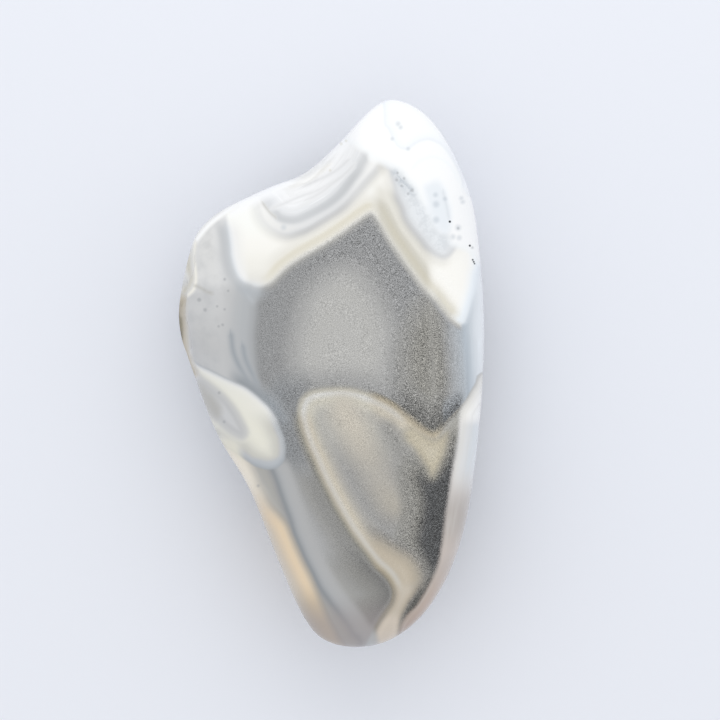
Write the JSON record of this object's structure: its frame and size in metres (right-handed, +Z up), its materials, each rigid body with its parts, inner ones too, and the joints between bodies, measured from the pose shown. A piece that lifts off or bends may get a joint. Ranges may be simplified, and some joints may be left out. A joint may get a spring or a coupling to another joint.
{
  "type": "dendritic opal freeform",
  "caption": "Palm-sized polished opal freeform, banded cream and gray, with a blunt faceted tip, a hollow facet beside it and a chipped rough edge; it lies on a flat ground on its back.",
  "frame": {"origin": "middle of the bounding box in plan, on the level of the flat that the stone rests on", "axes": "+Y along the stone to its blunt tip, +Z up from the resting flat through its thickness, +X across it away from the chipped edge"},
  "size_m": [0.0504, 0.09, 0.027],
  "materials": {
    "polished_opal": "polished"
  },
  "bodies": {
    "root": {"opal_stone": "polished_opal"}
  },
  "joints": []
}
